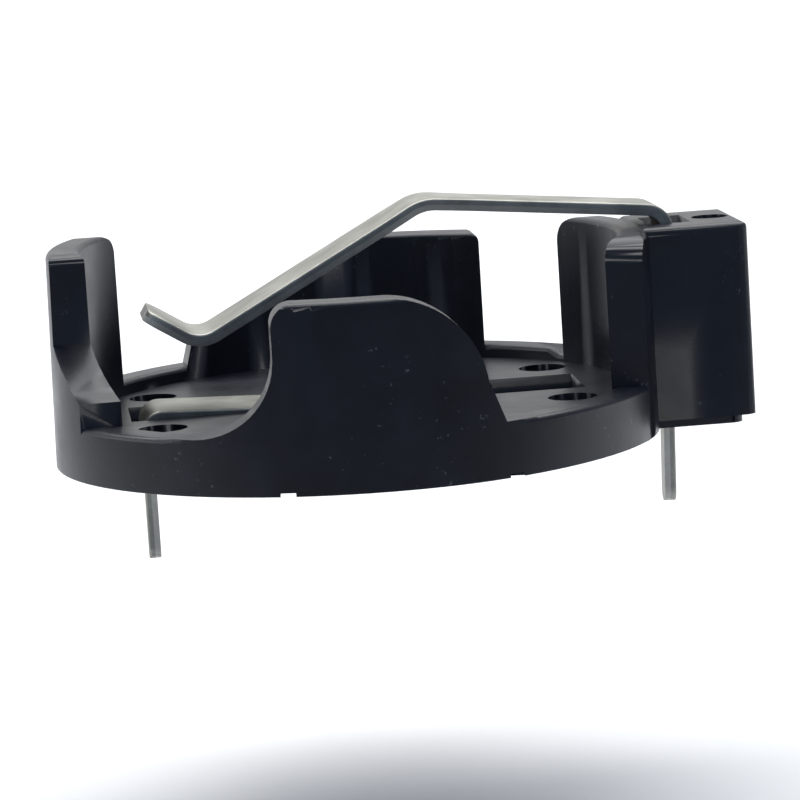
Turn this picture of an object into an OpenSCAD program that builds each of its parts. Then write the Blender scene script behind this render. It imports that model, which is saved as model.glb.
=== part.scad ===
// Coin cell holder for a circuit board.
// A round plastic dish takes the cell between four upright walls. A sprung strip
// reaches over the cell from a tower at +X and presses on it, and a second strip
// in a slot of the floor touches it from below. Each strip ends in a solder pin.
// The board is at z = 0, the dish's axis is the Z axis, and +X is the tower's side.

/* [Cell] */
// Diameter of the cell that the dish takes
cell_d = 20; // [16:0.5:24.5]
// Gap left all round the cell
cell_gap = 0.4; // [0.2:0.05:0.8]

/* [Dish] */
// Thickness of the dish's round wall
wall_t = 1.3; // [1:0.05:1.8]
// Height of the floor above the board
floor_h = 1.8; // [1.5:0.1:2.4]
// Height of the low lip above the floor
lip_rise = 0.3; // [0.1:0.05:0.6]
// Height of the raised lip at the back left, above the low lip
ledge_rise = 0.27; // [0.1:0.01:0.6]
// Rounding of the upper edges of lip and walls
edge_r = 0.3; // [0.15:0.05:0.45]
// Diameter of the four floor holes
hole_d = 1.9; // [1:0.1:2.4]
// Distance of each floor hole's edge from the dish's wall
hole_inset = 0.55; // [0.3:0.05:1.2]
// Angle of each floor hole off the X axis
hole_angle = 28; // [24:1:50]
// Depth of the relief notches under the front wall's sides
notch_depth = 0.15; // [0.05:0.05:0.4]
// Width of those notches
notch_w = 0.55; // [0.2:0.05:1]

/* [Front wall] */
// Height of the front wall
front_h = 7.05; // [5.5:0.05:9]
// Left side of the front wall
front_left = -3.95; // [-5:0.05:-2]
// Right side of the front wall
front_right = 3.85; // [2:0.05:5]
// Radius of its upper left corner
front_corner_r = 0.9; // [0.3:0.1:1.5]
// Radius of its sloping right shoulder
front_shoulder_r = 3.9; // [2:0.1:4.5]
// Radius of the flare at the foot of its left side
front_flare_r = 3; // [1:0.1:3.4]
// Width of the foot at its right side
front_foot_w = 0.55; // [0.2:0.05:1]
// Height of the foot at its right side
front_foot_h = 1.5; // [0.5:0.1:2]

/* [Back wall] */
// Height of the back wall
back_h = 7; // [5.5:0.1:9]
// Left side of the back wall, at its foot
back_left = -6.3; // [-7.5:0.05:-5]
// Right side of the back wall
back_right = 6.1; // [5:0.05:7]
// Lean of that side, from its foot to the ramp
back_lean = 0.35; // [0.1:0.05:0.8]
// Height at which the ramp begins
back_ramp_h = 3.4; // [2.8:0.1:4]
// Place along X where the ramp reaches the full height
back_ramp_x = 1.8; // [0:0.1:4]
// Radius of its upper right corner
back_corner_r = 0.4; // [0.2:0.05:1]

/* [Left wall] */
// Height of the wall opposite the tower
left_h = 8.35; // [7:0.05:10]
// Front end of the left wall
left_front = -1.5; // [-3:0.05:-0.5]
// Back end of the left wall
left_back = 5.3; // [3:0.05:6.5]
// Front end of the ramp below the left wall
left_ramp_front = -4.5; // [-6:0.05:-3.5]
// Height of the ramp's front end
left_ramp_low = 3; // [2.6:0.1:3.6]
// Height at which the ramp meets the wall's front end
left_ramp_high = 4.9; // [4:0.1:6]
// Radius of the wall's upper front corner
left_front_r = 0.4; // [0.3:0.1:1.2]
// Radius of the wall's upper back corner
left_back_r = 0.8; // [0.3:0.1:1.2]

/* [Tower] */
// Height of the wall in front of the tower
tower_wall_h = 7.75; // [6.5:0.05:9.5]
// Front end of that wall
tower_wall_front = -4.6; // [-6:0.05:-3.8]
// Back end of that wall
tower_wall_back = 5.35; // [3.8:0.05:6]
// Radius of that wall's upper corners
tower_wall_r = 1; // [0.3:0.1:1.3]
// Height of the tower
tower_h = 7.87; // [6.5:0.05:9.5]
// Reach of the tower beyond the dish's wall
tower_reach = 3.57; // [2.8:0.02:4.5]
// Width of the tower along Y
tower_w = 5.54; // [4.2:0.02:6.6]
// Radius of the tower's upright corners
tower_corner_r = 0.5; // [0.2:0.05:0.8]
// Rounding of the tower's upper edges
tower_edge_r = 0.3; // [0.15:0.05:0.6]
// Height of the tower's foot pad
pad_h = 0.35; // [0.2:0.05:0.6]
// Setback of the foot pad from the tower's faces
pad_inset = 0.45; // [0.2:0.05:0.8]
// Depth of the mouth that the strip enters
mouth_depth = 1.2; // [0.6:0.1:2]
// Room that the mouth leaves on each side of the strip's thickness
mouth_room = 0.6; // [0.3:0.05:0.7]
// Diameter of the round recess in the tower's top
recess_d = 1.45; // [0.8:0.05:1.5]
// Distance of that recess from the tower's outer face
recess_inset = 0.3; // [0.3:0.05:0.6]
// Depth of that recess
recess_depth = 0.12; // [0.05:0.01:0.3]

/* [Contact sheet] */
// Thickness of the sheet that both contacts are bent from
sheet_t = 0.46; // [0.34:0.02:0.5]
// Clearance between a contact and the plastic round it
fit_gap = 0.06; // [0.03:0.01:0.12]
// Room for the leg's lean beside its pin
pin_slack = 0.1; // [0.06:0.02:0.16]
// Width of each solder pin
pin_w = 0.85; // [0.6:0.05:1.2]
// Length of each pin's tapered tip
pin_taper = 0.45; // [0.2:0.05:0.8]

/* [Positive contact] */
// Distance of the positive pin from the dish's outer wall, at the board
positive_offset = 0.47; // [0.42:0.01:0.9]
// Length of the positive pin below the board
positive_pin_l = 3.25; // [2.5:0.05:4.5]
// Lean of the leg from upright
leg_lean = 1.6; // [0:0.1:2]
// Width of the strip at the tower
strip_w = 2.6; // [2:0.05:3.2]
// Width of the strip over the cell
tip_w = 3.45; // [2.6:0.05:4]
// Place along X where the strip begins to widen
widen_x = 4.6; // [3:0.1:8]
// Length over which it widens
widen_l = 3.2; // [1:0.1:5]
// Gap between the tower wall and the strip above it
strip_lift = 0.44; // [0.1:0.02:0.8]
// Rise of the strip from the tower towards the knee
arm_rise = 5.7; // [2:0.1:10]
// Fall of the strip from the knee to the heel
slope_fall = 28.3; // [20:0.1:32]
// Length of the falling stretch, between its bends
slope_l = 8.85; // [6:0.05:9.4]
// Upward turn of the tip from level
tip_rise = 32.4; // [15:0.1:45]
// Length of the tip beyond the heel's bend
tip_l = 1.65; // [1:0.05:2.5]
// Gap between the tip and the left wall
tip_gap = 2.1; // [1:0.05:3]
// Inside radius of the bend into the tower
root_r = 0.65; // [0.4:0.05:1]
// Inside radius of the knee
knee_r = 1.5; // [0.8:0.1:4]
// Inside radius of the heel
heel_r = 1.05; // [0.4:0.05:2]
// Radius of the tip's corners
tip_corner_r = 0.6; // [0.2:0.05:1]

/* [Negative contact] */
// Distance of the negative pin from the dish's inner wall
negative_inset = 2.05; // [1.8:0.05:3]
// Length of the negative pin below the board
negative_pin_l = 3.9; // [2.5:0.05:4.5]
// Width of the strip in the floor
floor_strip_w = 3.5; // [2.4:0.05:4]
// Side clearance of that strip in its slot
slot_gap = 0.17; // [0.08:0.01:0.3]
// Depth of the slot below the floor
slot_depth = 0.65; // [0.5:0.05:0.9]
// Height of the strip's crest above the floor
crest_rise = 0.3; // [0.15:0.05:0.5]
// Length of the strip between its bend and its free end
floor_strip_l = 12.4; // [8:0.1:13.5]
// Inside radius of the bend onto the pin
crest_r = 0.35; // [0.2:0.05:0.6]
// Distance of the slot's left end from the dish's wall
slot_left_inset = 1.45; // [1:0.05:1.6]
// Distance of the slot's right end from the dish's wall
slot_right_inset = 1.7; // [1:0.05:3]
// Width of the hole that the pin passes through, along Y
pin_hole_w = 2.2; // [1.5:0.1:3]

/* [Hidden] */
$fn = 96;
over = 1;
far = 40;
bend_steps = 14;

bore_r = cell_d / 2 + cell_gap;
shell_r = bore_r + wall_t;
lip_h = floor_h + lip_rise;
slot_w = floor_strip_w + 2 * slot_gap;
slot_floor = floor_h - slot_depth;
slot_left = -(bore_r - slot_left_inset);
slot_right = bore_r - slot_right_inset;
negative_x = -(bore_r - negative_inset);
positive_x = shell_r + positive_offset;
tower_x = shell_r + tower_reach;
hole_ring_r = bore_r - hole_inset - hole_d / 2;

// The positive strip is followed from the board up the leg, so its inner side is the
// side that ends underneath. The arm's length takes up what the other stretches leave
// between the leg and the left wall.
root_turn = 90 - arm_rise + leg_lean;
knee_turn = arm_rise + slope_fall;
heel_turn = slope_fall + tip_rise;
arm_z = tower_wall_h + strip_lift;
leg_l = (arm_z - root_r) / cos(leg_lean);
leg_top_x = positive_x + sheet_t / 2 + leg_l * sin(leg_lean);
knee_span = knee_r * (sin(arm_rise) + sin(slope_fall));
heel_span = (heel_r + sheet_t) * (sin(slope_fall) + sin(tip_rise));
tip_end_x = -(bore_r - tip_gap);
root_span = sheet_t + root_r;
arm_l = (leg_top_x - root_span - tip_end_x - knee_span - slope_l * cos(slope_fall)
    - heel_span - tip_l * cos(tip_rise)) / cos(arm_rise);

// The floor strip falls from its crest to the slot's floor, where its free end rests.
crest_z = floor_h + crest_rise;
floor_strip_fall = asin((crest_z - sheet_t - slot_floor) / floor_strip_l);

// Corner piece between two straight sides and a concave quarter circle. Added at a
// foot it is a flare, and taken from a corner it rounds it.
module spandrel(r) {
    difference() {
        square(r);
        translate([r, r]) circle(r);
    }
}

// Upright outline with rounded upper corners, from left to right and up to top.
module post_outline(left, right, top, left_r, right_r) {
    difference() {
        translate([left, 0]) square([right - left, top]);
        translate([left, top]) mirror([0, 1]) spandrel(left_r);
        translate([right, top]) rotate(180) spandrel(right_r);
    }
}

// Ring of the dish's wall up to a height, with its upper edges rounded.
module ring(top) {
    rotate_extrude() translate([bore_r, 0]) post_outline(0, wall_t, top, edge_r, edge_r);
}

// Part of the ring that lies within an outline drawn in X and Z, at the front or back.
module wall_along_x(top, side) {
    intersection() {
        ring(top);
        translate([0, side > 0 ? shell_r + over : 0, 0])
            rotate([90, 0, 0]) linear_extrude(shell_r + over) children();
    }
}

// Part of the ring that lies within an outline drawn in Y and Z, at the left or right.
module wall_along_y(top, side) {
    intersection() {
        ring(top);
        translate([side > 0 ? 0 : -shell_r - over, 0, 0])
            rotate([90, 0, 90]) linear_extrude(shell_r + over) children();
    }
}

module front_wall() {
    wall_along_x(front_h, -1) {
        post_outline(front_left, front_right, front_h, front_corner_r, front_shoulder_r);
        translate([front_left, lip_h]) mirror([1, 0]) spandrel(front_flare_r);
        polygon([
            [front_right, lip_h],
            [front_right + front_foot_w, lip_h],
            [front_right, lip_h + front_foot_h]
        ]);
    }
}

module back_wall() {
    wall_along_x(back_h, 1) {
        difference() {
            post_outline(back_left, back_right, back_h, edge_r, back_corner_r);
            polygon([
                [back_left - over, lip_h],
                [back_left, lip_h],
                [back_left + back_lean, back_ramp_h],
                [back_ramp_x, back_h],
                [back_ramp_x, back_h + over],
                [back_left - over, back_h + over]
            ]);
        }
    }
    // the raised lip between the back wall's foot and the left wall
    wall_along_x(lip_h + ledge_rise, 1)
        translate([-shell_r, 0]) square([shell_r + back_left + over, far]);
}

module left_wall() {
    wall_along_y(left_h, -1) {
        post_outline(left_front, left_back, left_h, left_front_r, left_back_r);
        polygon([
            [left_ramp_front, 0],
            [left_ramp_front, left_ramp_low],
            [left_front, left_ramp_high],
            [left_front, 0]
        ]);
    }
}

module tower_wall() {
    wall_along_y(tower_wall_h, 1)
        post_outline(tower_wall_front, tower_wall_back, tower_wall_h, tower_wall_r, tower_wall_r);
}

// Block outside the dish that holds the strip's leg, with rounded upright corners and
// upper edges: three outlines, seen from above, from the front and from the side.
module tower_block() {
    inner_x = bore_r + wall_t / 2;
    intersection() {
        translate([0, 0, pad_h]) linear_extrude(tower_h) tower_plan(0, inner_x);
        translate([0, tower_w, 0]) rotate([90, 0, 0]) linear_extrude(2 * tower_w)
            post_outline(inner_x, tower_x, tower_h, tower_edge_r, tower_edge_r);
        rotate([90, 0, 90]) linear_extrude(tower_x + over)
            post_outline(-tower_w / 2, tower_w / 2, tower_h, tower_edge_r, tower_edge_r);
    }
    linear_extrude(pad_h) tower_plan(pad_inset, inner_x);
}

module tower_plan(inset, inner_x) {
    half_w = tower_w / 2 - inset;
    difference() {
        translate([inner_x, -half_w]) square([tower_x - inset - inner_x, 2 * half_w]);
        translate([tower_x - inset, -half_w]) mirror([1, 0]) spandrel(tower_corner_r);
        translate([tower_x - inset, half_w]) rotate(180) spandrel(tower_corner_r);
    }
}

// Way down through the tower: a wide mouth, a close slot for the leg and a narrow one
// for the pin, on whose shoulders the leg stands.
module leg_slot() {
    leg_swing = leg_l * sin(leg_lean);
    inner_face = positive_x - sheet_t / 2 - fit_gap;
    outer_face = positive_x + sheet_t / 2 + leg_swing + fit_gap;
    slot_y = strip_w / 2 + fit_gap;
    pin_y = pin_w / 2 + fit_gap;
    translate([inner_face, -slot_y, pad_h + fit_gap])
        cube([outer_face - inner_face, 2 * slot_y, far]);
    translate([inner_face - pin_slack, -pin_y, -over])
        cube([sheet_t + 2 * (fit_gap + pin_slack), 2 * pin_y, far / 2]);
    translate([outer_face - sheet_t - mouth_room, -slot_y, tower_h - mouth_depth])
        cube([sheet_t + 2 * mouth_room, 2 * slot_y, far]);
}

module housing() {
    color([0.11, 0.12, 0.16])
    difference() {
        union() {
            cylinder(r = bore_r + wall_t / 2, h = floor_h);
            ring(lip_h);
            front_wall();
            back_wall();
            left_wall();
            tower_wall();
            tower_block();
        }
        // four round holes through the floor
        for (side = [0, 180], turn = [-hole_angle, hole_angle])
            rotate(side + turn) translate([hole_ring_r, 0, -over])
                cylinder(d = hole_d, h = floor_h + 2 * over);
        // slot along the floor, and the pin's hole at its left end
        translate([slot_left, -slot_w / 2, slot_floor])
            cube([slot_right - slot_left, slot_w, far]);
        translate([slot_left, -pin_hole_w / 2, -over])
            cube([negative_x + sheet_t / 2 + fit_gap - slot_left, pin_hole_w, far]);
        leg_slot();
        // round recess in the tower's top
        translate([tower_x - recess_inset - recess_d / 2, 0, tower_h - recess_depth])
            cylinder(d = recess_d, h = far);
        // relief notches under the front wall's sides
        for (x = [front_left, front_right + front_foot_w])
            translate([x, -shell_r - over, -over])
                cube([notch_w, wall_t + over, over + notch_depth]);
    }
}

// One side of a bent sheet's section, as points: it sets out from a place at a heading,
// and each step is a straight run, a turn (left if positive) and the turn's inside
// radius. The side lies to the left of the path by the given offset.
function sheet_side(steps, offset, place, heading, i = 0) =
    i == len(steps) ? [] :
    let (
        turn = steps[i][1],
        centre_offset = turn > 0 ? sheet_t + steps[i][2] : -steps[i][2],
        corner = place + steps[i][0] * [cos(heading), sin(heading)],
        centre = corner + centre_offset * left_of(heading),
        stops = turn == 0 ? [0] : [for (k = [0:bend_steps]) turn * k / bend_steps],
        bend = [for (a = stops) centre + (offset - centre_offset) * left_of(heading + a)],
        next_place = centre - centre_offset * left_of(heading + turn)
    )
    concat(bend, sheet_side(steps, offset, next_place, heading + turn, i + 1));

function left_of(heading) = [-sin(heading), cos(heading)];

function backwards(points) = [for (k = [len(points) - 1:-1:0]) points[k]];

// A strip bent from sheet, standing in the X-Z plane and centred on it.
module bent_strip(steps, place, heading, w) {
    start = left_of(heading);
    rotate([90, 0, 0]) linear_extrude(w, center = true) polygon(concat(
        [place],
        sheet_side(steps, 0, place, heading),
        backwards(sheet_side(steps, sheet_t, place, heading)),
        [place + sheet_t * start]
    ));
}

// Outline of a leg in Y and Z: wide above the shoulder, pin below, tapered at its end.
module leg_outline(w, shoulder, pin_l) {
    translate([-w / 2, shoulder]) square([w, far]);
    polygon([
        [-pin_w / 4, -pin_l],
        [pin_w / 4, -pin_l],
        [pin_w / 2, pin_taper - pin_l],
        [pin_w / 2, shoulder + over / 2],
        [-pin_w / 2, shoulder + over / 2],
        [-pin_w / 2, pin_taper - pin_l]
    ]);
}

// Outline of the positive strip from above: it widens near the knee, and the corners
// of its tip are round.
module strip_plan() {
    difference() {
        polygon([
            [shell_r, -strip_w / 2],
            [shell_r, strip_w / 2],
            [widen_x, strip_w / 2],
            [widen_x - widen_l, tip_w / 2],
            [tip_end_x, tip_w / 2],
            [tip_end_x, -tip_w / 2],
            [widen_x - widen_l, -tip_w / 2],
            [widen_x, -strip_w / 2]
        ]);
        translate([tip_end_x, -tip_w / 2]) spandrel(tip_corner_r);
        translate([tip_end_x, tip_w / 2]) mirror([0, 1]) spandrel(tip_corner_r);
    }
}

module positive_contact() {
    leg_way = [sin(leg_lean), cos(leg_lean)];
    leg_below = positive_pin_l + over;
    color([0.72, 0.72, 0.69])
    intersection() {
        // from below the pin up the leaning leg, then back over the cell
        bent_strip([
            [leg_below + leg_l, root_turn, root_r],
            [arm_l, knee_turn, knee_r],
            [slope_l, -heel_turn, heel_r],
            [tip_l, 0, 0]
        ], [positive_x + sheet_t / 2, 0] - leg_below * leg_way, 90 - leg_lean, tip_w + over);
        union() {
            translate([0, 0, -far / 2]) linear_extrude(far) strip_plan();
            translate([shell_r, 0, 0]) rotate([90, 0, 90]) linear_extrude(tower_reach)
                leg_outline(strip_w, pad_h + 2 * fit_gap, positive_pin_l);
        }
    }
}

module negative_contact() {
    bend_l = crest_z - sheet_t - crest_r;
    strip_turn = -90 - floor_strip_fall;
    join_x = negative_x + sheet_t;
    color([0.7, 0.7, 0.67])
    intersection() {
        bent_strip([
            [negative_pin_l + over + bend_l, strip_turn, crest_r],
            [floor_strip_l, 0, 0]
        ], [negative_x + sheet_t / 2, -negative_pin_l - over], 90, floor_strip_w + over);
        union() {
            translate([join_x, -floor_strip_w / 2, 0]) cube([far, floor_strip_w, far]);
            translate([negative_x - sheet_t, 0, 0]) rotate([90, 0, 90])
                linear_extrude(2 * sheet_t)
                    leg_outline(floor_strip_w, slot_floor + fit_gap, negative_pin_l);
        }
    }
}

housing();
positive_contact();
negative_contact();
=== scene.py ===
import math

import bmesh
import bpy
from mathutils import Matrix, Vector


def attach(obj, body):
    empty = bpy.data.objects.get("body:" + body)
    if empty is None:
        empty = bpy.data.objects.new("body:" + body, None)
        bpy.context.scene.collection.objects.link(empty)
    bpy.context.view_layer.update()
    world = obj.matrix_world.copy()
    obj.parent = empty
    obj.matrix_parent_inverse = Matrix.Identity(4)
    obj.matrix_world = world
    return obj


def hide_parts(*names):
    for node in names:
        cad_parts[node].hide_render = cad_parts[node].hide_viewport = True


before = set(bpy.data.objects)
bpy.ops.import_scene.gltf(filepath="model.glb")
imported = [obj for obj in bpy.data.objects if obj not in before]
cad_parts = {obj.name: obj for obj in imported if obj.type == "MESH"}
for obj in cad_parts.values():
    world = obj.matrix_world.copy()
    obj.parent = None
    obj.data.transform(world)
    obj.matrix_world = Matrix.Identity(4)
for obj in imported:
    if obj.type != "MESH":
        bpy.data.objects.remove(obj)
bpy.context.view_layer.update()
MM = 0.001


# ---------------------------------------------------------------- studio
# A pale sweep, its colour darkened by painted shade well in front of the part, soft light from
# above and behind, and a long lens a little above the board's level, turned slightly to the
# left.
FLOOR_Z = -14 * MM
FLOOR_REACH = 250 * MM
LENS_YAW = math.radians(-5.53)
LENS_RISE = math.radians(8.49)
LENS_ROLL = math.radians(3.61)
LENS_DISTANCE = 156.2 * MM
LENS_TARGET = Vector((1.630, 0, 1.556)) * MM
LENS_LENGTH = 179.5
LENS_NEAR = 10 * MM
# sky tones from the viewer's side, over the middle, to behind the part
SKY_TONES = ("8090A8", "9AA2AE", "FFFFFF")
SKY_REACH = (-0.7, 0.97)
SKY_RISE = (-0.03, 0.1)
SKY_STRENGTH = (1.08, 0.8)
# painted shade: the floor's colour darkens towards the viewer (Y) and to the left (X), standing
# in for light falling off there
FLOOR_FRONT_FADE = (-60 * MM, -12 * MM)
FLOOR_FRONT_TONE = (0.1, 0.95)
FLOOR_LEFT_FADE = (-100 * MM, -45 * MM)
FLOOR_LEFT_TONE = (0.3, 1.0)
FLOOR_ROUGHNESS = 0.9
FLOOR_SHINE = 0.1
# name, place in metres, size in metres, watts
SOFT_BOXES = (
    ("top light", (0, 0.16, 0.46), (0.6, 0.5), 3.2),
    ("left light", (-0.45, 0.1, 0.2), (0.3, 0.3), 0.4),
)


def linear(hex_colour):
    """An sRGB hex value as a linear colour with full alpha."""
    parts = [int(hex_colour[i:i + 2], 16) / 255 for i in (0, 2, 4)]
    return [p / 12.92 if p <= 0.04045 else ((p + 0.055) / 1.055) ** 2.4 for p in parts] + [1]


def add_node(material, kind, settings=None, links=None):
    """A shader node with its properties or input values set and its inputs linked."""
    tree = material.node_tree
    node = tree.nodes.new(kind)
    for name, value in (settings or {}).items():
        if name in node.inputs:
            node.inputs[name].default_value = value
        else:
            setattr(node, name, value)
    for name, source in (links or {}).items():
        tree.links.new(source, node.inputs[name])
    return node


def new_material(name):
    """An empty node material."""
    material = bpy.data.materials.new(name)
    material.use_nodes = True
    material.node_tree.nodes.clear()
    return material


def finish_material(material, shader):
    """Links a shader to the material's output."""
    out = add_node(material, "ShaderNodeOutputMaterial")
    material.node_tree.links.new(shader.outputs[0], out.inputs["Surface"])


def link_mesh(mesh_bm, name):
    """A linked object at the origin, made from a bmesh that is then freed."""
    mesh = bpy.data.meshes.new(name)
    mesh_bm.to_mesh(mesh)
    mesh_bm.free()
    piece = bpy.data.objects.new(name, mesh)
    bpy.context.scene.collection.objects.link(piece)
    return piece


def aim(place, target, roll=0.0):
    """World matrix at a place, looking at a target, turned about the view by roll."""
    back = (place - target).normalized()
    right = Vector((0, 0, 1)).cross(back).normalized()
    up = back.cross(right)
    turned_right = right * math.cos(roll) - up * math.sin(roll)
    turned_up = right * math.sin(roll) + up * math.cos(roll)
    turn = Matrix((turned_right, turned_up, back)).transposed().to_4x4()
    return Matrix.Translation(place) @ turn


lens_back = Vector((
    math.sin(LENS_YAW) * math.cos(LENS_RISE),
    -math.cos(LENS_YAW) * math.cos(LENS_RISE),
    math.sin(LENS_RISE),
))
camera = bpy.data.objects.new("camera", bpy.data.cameras.new("camera"))
bpy.context.scene.collection.objects.link(camera)
camera.matrix_world = aim(LENS_TARGET + lens_back * LENS_DISTANCE, LENS_TARGET, LENS_ROLL)
camera.data.lens = LENS_LENGTH
camera.data.clip_start = LENS_NEAR
bpy.context.scene.camera = camera
bpy.context.scene.view_settings.view_transform = "Standard"

sky = bpy.data.worlds.new("sky")
bpy.context.scene.world = sky
sky.use_nodes = True
sky_glow = sky.node_tree.nodes["Background"]
sky_way = add_node(sky, "ShaderNodeTexCoord")
sky_axes = add_node(sky, "ShaderNodeSeparateXYZ", links={"Vector": sky_way.outputs["Generated"]})
sky_shade = add_node(sky, "ShaderNodeMapRange", {
    "From Min": SKY_REACH[0], "From Max": SKY_REACH[1]}, {"Value": sky_axes.outputs["Y"]})
sky_tone = add_node(sky, "ShaderNodeValToRGB", links={"Fac": sky_shade.outputs[0]})
sky_tone.color_ramp.elements[0].color = linear(SKY_TONES[0])
sky_tone.color_ramp.elements[1].color = linear(SKY_TONES[2])
sky_tone.color_ramp.elements.new(0.5).color = linear(SKY_TONES[1])
sky.node_tree.links.new(sky_tone.outputs[0], sky_glow.inputs["Color"])
sky_height = add_node(sky, "ShaderNodeMapRange", {
    "From Min": SKY_RISE[0], "From Max": SKY_RISE[1],
    "To Min": SKY_STRENGTH[0], "To Max": SKY_STRENGTH[1]},
    {"Value": sky_axes.outputs["Z"]})
sky.node_tree.links.new(sky_height.outputs[0], sky_glow.inputs["Strength"])

floor_paint = new_material("matt white board with painted shade")
floor_place = add_node(floor_paint, "ShaderNodeTexCoord")
floor_axes = add_node(floor_paint, "ShaderNodeSeparateXYZ",
                      links={"Vector": floor_place.outputs["Object"]})
# painted shade on the floor: each fade darkens its colour, one towards the viewer and one to the
# left
floor_fades = [
    add_node(floor_paint, "ShaderNodeMapRange", {
        "From Min": fade[0], "From Max": fade[1], "To Min": tone[0], "To Max": tone[1],
        "interpolation_type": "SMOOTHSTEP"}, {"Value": floor_axes.outputs[axis]})
    for axis, fade, tone in (("Y", FLOOR_FRONT_FADE, FLOOR_FRONT_TONE),
                             ("X", FLOOR_LEFT_FADE, FLOOR_LEFT_TONE))]
floor_painted_shade = add_node(floor_paint, "ShaderNodeMath", {"operation": "MULTIPLY"})
for slot, fade in zip(floor_painted_shade.inputs, floor_fades):
    floor_paint.node_tree.links.new(fade.outputs[0], slot)
finish_material(floor_paint, add_node(floor_paint, "ShaderNodeBsdfPrincipled", {
    "Roughness": FLOOR_ROUGHNESS, "Specular IOR Level": FLOOR_SHINE},
    {"Base Color": floor_painted_shade.outputs[0]}))
floor_bm = bmesh.new()
bmesh.ops.create_grid(floor_bm, x_segments=1, y_segments=1, size=FLOOR_REACH)
bmesh.ops.translate(floor_bm, verts=floor_bm.verts, vec=(0, 0, FLOOR_Z))
floor = link_mesh(floor_bm, "floor")
floor.data.materials.append(floor_paint)


for name, place, size, watts in SOFT_BOXES:
    lamp = bpy.data.lights.new(name, "AREA")
    lamp.shape = "RECTANGLE"
    lamp.size, lamp.size_y = size
    lamp.energy = watts
    holder = bpy.data.objects.new(name, lamp)
    bpy.context.scene.collection.objects.link(holder)
    holder.matrix_world = aim(Vector(place), Vector((0, 0, 0)))


# ---------------------------------------------------------------- housing
# The dish, its walls and its tower are one moulding in dark glass-filled PBT. Its tool
# is spark-eroded and a little worn, so faces are finely grained and edges rounded.
JOIN_GAP = 0.002 * MM
FLAT_ANGLE = math.radians(0.6)
SHARP_ANGLE = math.radians(32)
BORE_R = 10.4 * MM
SHELL_R = 11.7 * MM
LIP_FOOT = 1.8 * MM
LIP_TOP = 2.1 * MM
LIP_ROUND = 0.3 * MM
WALL_TOP = 8.35 * MM
DRAFT_TOP = 0.05 * MM
DRAFT_FOOT = 0.22 * MM
# where along X the draft begins and where it is full
DRAFT_X = (9 * MM, 2 * MM)
TOWER_X = 11.2 * MM
BACK_LIP_RISE = 0.24 * MM
BACK_LIP_START = 5.7 * MM
BACK_LIP_RAMP = 0.5 * MM
# where along X the lip's rounding runs out under the front wall's two feet
FLARE_X = (-8.4 * MM, -6.7 * MM)
FOOT_X = (5.8 * MM, 4.6 * MM)
FRONT_Y = -7 * MM
# width asked for and steps of each kind of rounding. Crowded edges hold the bevels far
# below this: about 0.03 mm at the foot, and next to nothing at the other edges
FOOT_ROUND = (0.26 * MM, 4)
WALL_END_ROUND = (0.3 * MM, 4)
EDGE_ROUND = (0.08 * MM, 2)
EDGE_MIN = 0.02 * MM
WALL_EDGE_MIN = 0.6 * MM
ON_CIRCLE = 0.05 * MM
# faces this much alike share a normal, and round walls are met within this slack
LIKE_FACE = math.cos(math.radians(20))
WALL_SLACK = 0.03 * MM
ROUNDED = "rounded_edge"
PLASTIC_TONES = ("0C101A", "121724")
SMUDGE_TONE = "2A2E38"
DUST_TONE = "6C7078"


def ease(value, start, stop):
    """0 at start, 1 at stop and a smooth rise between them."""
    t = max(0.0, min(1.0, (value - start) / (stop - start)))
    return t * t * (3 - 2 * t)


def outer_draft(co):
    """Outward push of the outer wall, more at its foot and none at the tower."""
    if co.xy.length < SHELL_R - LIP_ROUND - JOIN_GAP or co.x > TOWER_X:
        return 0.0
    push = DRAFT_FOOT + (DRAFT_TOP - DRAFT_FOOT) * co.z / WALL_TOP
    return push * ease(co.x, *DRAFT_X)


def joined_copy(node_name):
    """A bmesh copy of a CAD node with its triangles joined into flat faces."""
    bm = bmesh.new()
    bm.from_mesh(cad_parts[node_name].data)
    bm.faces.layers.int.new(ROUNDED)
    bmesh.ops.remove_doubles(bm, verts=bm.verts, dist=JOIN_GAP)
    bmesh.ops.dissolve_limit(bm, angle_limit=FLAT_ANGLE, verts=bm.verts, edges=bm.edges)
    return bm


def round_edges(bm, width, steps, wanted):
    """Bevels the sharp edges for which wanted(edge) holds, as far as clamping allows."""
    edges = [e for e in bm.edges if len(e.link_faces) == 2
             and e.calc_face_angle(0) > SHARP_ANGLE and wanted(e)]
    made = bmesh.ops.bevel(bm, geom=edges, offset=width, offset_type="OFFSET", affect="EDGES",
                           segments=steps, profile=0.5, material=-1, clamp_overlap=True)
    for face in made["faces"]:
        face[bm.faces.layers.int[ROUNDED]] = 1


def corner_normals(bm):
    """A normal for each face corner: radial on the round walls, even on flat faces, and
    running from one face's normal to the next over a rounded edge."""
    layer = bm.faces.layers.int[ROUNDED]
    normals = []
    for face in bm.faces:
        off_bore = max(abs(v.co.xy.length - BORE_R) for v in face.verts)
        off_shell = max(abs(v.co.xy.length - SHELL_R - outer_draft(v.co)) for v in face.verts)
        round_wall = (not face[layer] and abs(face.normal.z) < 0.5
                      and min(off_bore, off_shell) < WALL_SLACK)
        for loop in face.loops:
            co = loop.vert.co
            radial = Vector((co.x, co.y, 0)).normalized()
            if round_wall:
                normals.append(-radial if off_bore < off_shell else radial)
                continue
            around = loop.vert.link_faces
            plain = [f for f in around if not f[layer]]
            if face[layer]:
                near = max(plain, key=lambda f: f.normal.dot(face.normal), default=None)
                group = ([f for f in plain if f.normal.dot(near.normal) > LIKE_FACE]
                         if near else around)
            else:
                group = [f for f in plain if f.normal.dot(face.normal) > LIKE_FACE]
            total = sum((f.normal * f.calc_area() for f in group), Vector())
            normals.append(total.normalized() if total.length > 0 else face.normal.copy())
    return normals


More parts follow.
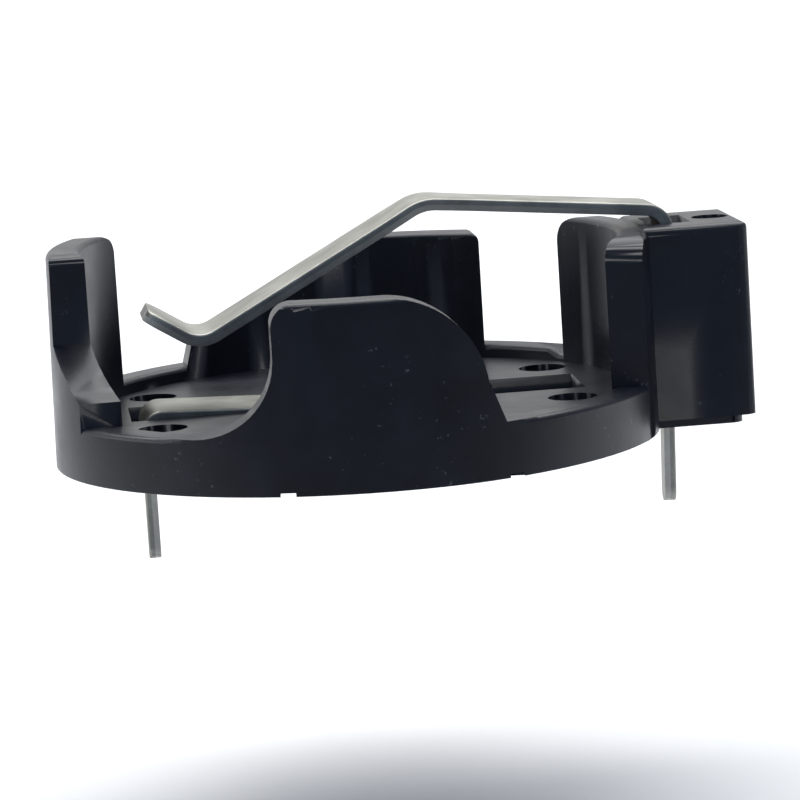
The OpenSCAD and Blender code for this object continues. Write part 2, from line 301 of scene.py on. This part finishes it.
def wall_end_edge(edge):
    """True for an upright edge between a wall's end and its inner face."""
    a, b = (v.co for v in edge.verts)
    run = b - a
    radius = ((a + b) / 2).xy.length
    return (run.length > WALL_EDGE_MIN and abs(run.z) > 0.98 * run.length
            and abs(radius - BORE_R) < ON_CIRCLE and min(a.z, b.z) > LIP_FOOT - JOIN_GAP)


def foot_edge(edge):
    """True for the dish's lower outer edge."""
    a, b = (v.co for v in edge.verts)
    return (max(a.z, b.z) < JOIN_GAP and max(a.x, b.x) < BORE_R
            and min(a.xy.length, b.xy.length) > SHELL_R - ON_CIRCLE)


bm = joined_copy("housing")
bmesh.ops.bisect_plane(bm, geom=bm.verts[:] + bm.edges[:] + bm.faces[:], dist=JOIN_GAP,
                       plane_co=(0, BACK_LIP_START, 0), plane_no=(0, 1, 0))
for vert in bm.verts:
    co = vert.co
    radius = co.xy.length
    on_lip = LIP_FOOT + JOIN_GAP < co.z < LIP_TOP + JOIN_GAP
    if on_lip and radius > BORE_R - JOIN_GAP and co.y > BACK_LIP_START + JOIN_GAP and co.x > 0:
        co.z += BACK_LIP_RISE * ease(co.y, BACK_LIP_START, BACK_LIP_START + BACK_LIP_RAMP)
    elif (LIP_FOOT - JOIN_GAP <= co.z < LIP_TOP + JOIN_GAP and co.y < FRONT_Y
          and radius > SHELL_R - LIP_ROUND - JOIN_GAP):
        fill = ease(co.x, *FLARE_X) if co.x < 0 else ease(co.x, *FOOT_X)
        reach = 1 + fill * (SHELL_R / radius - 1)
        co.x *= reach
        co.y *= reach
    push = outer_draft(co)
    co.x += co.x / max(radius, JOIN_GAP) * push
    co.y += co.y / max(radius, JOIN_GAP) * push
round_edges(bm, *FOOT_ROUND, foot_edge)
round_edges(bm, *WALL_END_ROUND, wall_end_edge)
round_edges(bm, *EDGE_ROUND, lambda edge: edge.calc_length() > EDGE_MIN)
bm.normal_update()
for face in bm.faces:
    face.smooth = True
shading = corner_normals(bm)
housing = link_mesh(bm, "housing_moulding")
housing.data.normals_split_custom_set(shading)


def noise(material, place, size, detail=3.0, roughness=0.6):
    """Noise from 0 to 1 whose features are about the given size in metres."""
    return add_node(material, "ShaderNodeTexNoise", {
        "Scale": 1 / size, "Detail": detail, "Roughness": roughness},
        {"Vector": place}).outputs[0]


def remap(material, value, low, high, to_low=0.0, to_high=1.0):
    """A value socket stretched from one range onto another and held within it."""
    return add_node(material, "ShaderNodeMapRange", {
        "From Min": low, "From Max": high, "To Min": to_low, "To Max": to_high},
        {"Value": value}).outputs[0]


def blend(material, factor, first, second):
    """Colour mix of two colours or sockets by a factor socket."""
    node = add_node(material, "ShaderNodeMix", {"data_type": "RGBA"})
    material.node_tree.links.new(factor, node.inputs[0])
    for socket, colour in ((node.inputs[6], first), (node.inputs[7], second)):
        if isinstance(colour, bpy.types.NodeSocket):
            material.node_tree.links.new(colour, socket)
        else:
            socket.default_value = colour
    return node.outputs[2]


def bump(material, height, strength, distance, under=None):
    """A normal tilted by a height socket, on top of another normal if one is given."""
    links = {"Height": height}
    if under is not None:
        links["Normal"] = under
    return add_node(material, "ShaderNodeBump", {
        "Strength": strength, "Distance": distance}, links).outputs[0]


# blue-black PBT: nearly black, with a soft sheen that turns pale at a grazing angle
plastic = new_material("moulded black PBT")
place = add_node(plastic, "ShaderNodeTexCoord").outputs["Object"]
# cloudy flow marks and a fine even grain from the tool
cloud = noise(plastic, place, 2.6 * MM)
grain = noise(plastic, place, 0.11 * MM, 4.0)
# pale dust specks, gathered in patches, and faint rubbed smudges
speck = remap(plastic, noise(plastic, place, 0.32 * MM, 5.0, 0.7), 0.64, 0.7)
patch = remap(plastic, noise(plastic, place, 3.2 * MM, 1.0), 0.48, 0.6)
dust = add_node(plastic, "ShaderNodeMath", {"operation": "MULTIPLY"})
plastic.node_tree.links.new(speck, dust.inputs[0])
plastic.node_tree.links.new(patch, dust.inputs[1])
smudge = remap(plastic, noise(plastic, place, 1.3 * MM, 6.0, 0.75), 0.6, 0.85, 0.0, 0.35)
colour = blend(plastic, remap(plastic, cloud, 0.35, 0.65),
               linear(PLASTIC_TONES[0]), linear(PLASTIC_TONES[1]))
colour = blend(plastic, smudge, colour, linear(SMUDGE_TONE))
colour = blend(plastic, dust.outputs[0], colour, linear(DUST_TONE))
finish_material(plastic, add_node(plastic, "ShaderNodeBsdfPrincipled", {}, {
    "Base Color": colour,
    "Roughness": remap(plastic, cloud, 0.3, 0.7, 0.3, 0.4),
    "Normal": bump(plastic, cloud, 0.25, 0.05 * MM, bump(plastic, grain, 0.35, 0.012 * MM)),
}))
housing.data.materials.append(plastic)
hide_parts("housing")
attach(housing, "root")


# ---------------------------------------------------------------- positive contact
# One strip of plated spring steel, stamped and bent: pin, leg in the tower, arm, knee,
# slope, heel and tip. Stamping leaves one side rolled over and the cut edges banded.
SHEET_T = 0.46 * MM
PIN_W = 0.85 * MM
PIN_TAPER = 0.45 * MM
ROLL_OVER = 0.09 * MM
BURR = 0.025 * MM
TEAR_DEPTH = 0.012 * MM
STRIP_W = 2.6 * MM
TIP_W = 3.45 * MM
POSITIVE_X = 12.17 * MM
POSITIVE_PIN = 3.25 * MM
POSITIVE_SHOULDER = 0.5 * MM
LEG_LEAN = math.radians(1.6)
# leg, arm, slope and tip: length in mm, turn after it in degrees, inside radius in mm
RUNS = ((7.543, 85.9, 0.65), (8.271, 34.0, 1.5), (8.85, -60.7, 1.05), (1.65, 0, 0))
WIDEN_X = (4.6 * MM, 1.4 * MM)
TIP_CORNER = 0.6 * MM
TIP_STEPS = (0.2, 0.4, 0.6, 0.75, 0.87, 0.95, 0.99)
STEP = 0.25 * MM
PIN_STEPS = 26
BEND_STEPS = 12
PIN_END_SHARE = 0.3
# the two bands of a cut edge meet over this height, below the sheet's middle
BAND_STEP = 0.02 * MM
# materials in each contact's list
FACE, SHEARED, TORN = 0, 1, 2


def bent_path(start, heading, runs, spacing):
    """Places and headings along a sheet's middle: straight runs, each with a bend after
    it, given by its turn in degrees (left is positive) and its inside radius."""
    place, stations = Vector(start), []
    for length, turn, inside in runs:
        way = Vector((math.cos(heading), math.sin(heading)))
        count = max(2, round(length / spacing))
        stations += [(place + way * length * k / count, heading) for k in range(count)]
        place = place + way * length
        angle = math.radians(turn)
        if not turn:
            stations.append((place, heading))
            continue
        radius = math.copysign(inside + SHEET_T / 2, turn)
        centre = place + Vector((-way.y, way.x)) * radius
        for k in range(BEND_STEPS):
            at = heading + angle * k / BEND_STEPS
            stations.append((centre - Vector((-math.sin(at), math.cos(at))) * radius, at))
        heading += angle
        place = centre - Vector((-math.sin(heading), math.cos(heading))) * radius
    return stations


def sheet_ring(half_w, top):
    """Section of the cut sheet, from side to side and round, as (across, up, band)."""
    half_t = SHEET_T / 2
    roll = min(ROLL_OVER, half_w * 0.4)
    arc = [(half_w - roll + roll * math.sin(a), half_t - roll + roll * math.cos(a), FACE)
           for a in (0, math.radians(30), math.radians(60))]
    side = arc + [
        (half_w, half_t - roll, SHEARED),
        (half_w, 0.0, TORN),
        (half_w - TEAR_DEPTH, -BAND_STEP, TORN),
        (half_w - TEAR_DEPTH, -half_t + BURR, TORN),
        (half_w - BURR - TEAR_DEPTH, -half_t, FACE)]
    other = [(-w, n) for w, n, _ in reversed(side)]
    bands = [TORN, TORN, TORN, SHEARED, FACE, FACE, FACE, FACE]
    ring = side + [(w, n, b) for (w, n), b in zip(other, bands)]
    return [(w, n * top, b) for w, n, b in ring]


def cut_sheet(name, stations, half_width, top):
    """A bent sheet as a mesh, its rings joined along the path and its ends closed."""
    bm = bmesh.new()
    rings = []
    for place, heading in stations:
        up = Vector((-math.sin(heading), math.cos(heading)))
        points = sheet_ring(half_width(place), top)
        rings.append([bm.verts.new((place.x + up.x * n, w, place.y + up.y * n))
                      for w, n, _ in points])
    bands = [b for _, _, b in points]
    count = len(bands)
    for lower, upper in zip(rings, rings[1:]):
        for k in range(count):
            face = bm.faces.new((lower[k], lower[(k + 1) % count],
                                 upper[(k + 1) % count], upper[k]))
            face.material_index = bands[k]
    for ring in (rings[0], rings[-1]):
        bm.faces.new(ring).material_index = TORN
    bmesh.ops.recalc_face_normals(bm, faces=bm.faces)
    for face in bm.faces:
        face.smooth = len(face.verts) == 4
    for edge in bm.edges:
        if len({f.material_index for f in edge.link_faces}) > 1:
            edge.smooth = False
    return link_mesh(bm, name)


def pin_half_width(depth):
    """Half width of a pin at a distance from its rounded end."""
    t = max(0.0, min(1.0, depth / PIN_TAPER))
    return PIN_W / 2 * (PIN_END_SHARE + (1 - PIN_END_SHARE) * math.sqrt(1 - (1 - t) ** 2))


def positive_half_width(place):
    """Half width of the positive strip: pin, leg and arm, wider knee to tip, round tip."""
    if place.y < POSITIVE_SHOULDER and place.x > BORE_R:
        return pin_half_width(place.y + POSITIVE_PIN)
    half = STRIP_W / 2 + (TIP_W - STRIP_W) / 2 * max(0.0, min(1.0, (
        (place.x - WIDEN_X[0]) / (WIDEN_X[1] - WIDEN_X[0]))))
    to_end = place.x - tip_end.x
    if to_end < TIP_CORNER:
        half -= TIP_CORNER - math.sqrt(max(0.0, TIP_CORNER ** 2 - (TIP_CORNER - to_end) ** 2))
    return half


def banded_steel(name, low, high, roughness, along, across):
    """Plated steel whose tone wanders, with fine lines drawn out along one axis."""
    material = new_material(name)
    place = add_node(material, "ShaderNodeTexCoord").outputs["Object"]
    stretched = add_node(material, "ShaderNodeVectorMath", {"operation": "MULTIPLY"})
    material.node_tree.links.new(place, stretched.inputs[0])
    stretched.inputs[1].default_value = (1 / along, 1 / across, 1 / along)
    lines = noise(material, stretched.outputs[0], 1.0, 4.0)
    cloud = noise(material, place, 1.8 * MM)
    pits = remap(material, noise(material, place, 0.09 * MM, 3.0), 0.62, 0.75)
    tone = blend(material, remap(material, cloud, 0.35, 0.65), linear(low), linear(high))
    tone = blend(material, remap(material, lines, 0.45, 0.7, 0.0, 0.5), tone, linear(low))
    finish_material(material, add_node(material, "ShaderNodeBsdfPrincipled", {"Metallic": 1.0}, {
        "Base Color": tone,
        "Roughness": remap(material, cloud, 0.3, 0.7, roughness, roughness + 0.1),
        "Normal": bump(material, lines, 0.3, 0.006 * MM, bump(material, pits, 0.4, -0.01 * MM)),
    }))
    return material


# nickel-plated strip: warm pale grey with fine rolling lines along its length
plated = banded_steel(
    "nickel-plated spring steel", "8E8E86", "ACACA4", 0.4, 1.2 * MM, 0.05 * MM)
# sheared band of the cut edge: burnished dark, drawn down by the punch
sheared = banded_steel(
    "burnished sheared steel", "8E8E8A", "AEAEA8", 0.42, 0.12 * MM, 0.12 * MM)
# torn band of the cut edge: paler and grainy, catching light from all sides
torn = banded_steel("torn steel", "C2C2BD", "DADAD4", 0.6, 0.05 * MM, 0.05 * MM)

positive_path = bent_path(
    (POSITIVE_X, 0), math.pi / 2 - LEG_LEAN,
    [(length * MM, turn, radius * MM) for length, turn, radius in RUNS], STEP)
pin_steps = [POSITIVE_PIN * k / PIN_STEPS - POSITIVE_PIN for k in range(PIN_STEPS)]
positive_path = [(Vector((POSITIVE_X + z * math.tan(LEG_LEAN), z)), math.pi / 2 - LEG_LEAN)
                 for z in pin_steps] + positive_path
tip_end = positive_path[-1][0]
last_place, last_heading = positive_path[-2]
positive_path[-1:] = [(last_place.lerp(tip_end, t), last_heading)
                      for t in TIP_STEPS]
positive = cut_sheet("positive_strip", positive_path, positive_half_width, -1)
for metal in (plated, sheared, torn):
    positive.data.materials.append(metal)
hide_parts("positive_contact")
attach(positive, "root")


# ---------------------------------------------------------------- negative contact
# The same sheet, stamped with a pin that comes up through the floor and bends into a
# wide strip lying in the floor's slot. It is pressed in, its free end resting below.
FLOOR_STRIP_W = 3.5 * MM
NEGATIVE_X = -8.35 * MM
NEGATIVE_PIN = 3.9 * MM
CREST_Z = 2.1 * MM
CREST_R = 0.35 * MM
NEGATIVE_SHOULDER = 1.19 * MM
STRIP_FALL = 2.265
STRIP_RUN = 12.4 * MM
STRIP_STEP = 0.1 * MM


def negative_half_width(place):
    """Half width of the negative strip: the pin, then the wide strip."""
    if place.y < NEGATIVE_SHOULDER and place.x < NEGATIVE_X + SHEET_T:
        return pin_half_width(place.y + NEGATIVE_PIN)
    return FLOOR_STRIP_W / 2


bend_z = CREST_Z - SHEET_T - CREST_R
negative_path = bent_path(
    (NEGATIVE_X, -NEGATIVE_PIN), math.pi / 2,
    [(NEGATIVE_PIN + bend_z, -90 - STRIP_FALL, CREST_R), (STRIP_RUN, 0, 0)], STRIP_STEP)
negative = cut_sheet("negative_strip", negative_path, negative_half_width, 1)
for metal in (plated, sheared, torn):
    negative.data.materials.append(metal)
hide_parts("negative_contact")
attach(negative, "root")
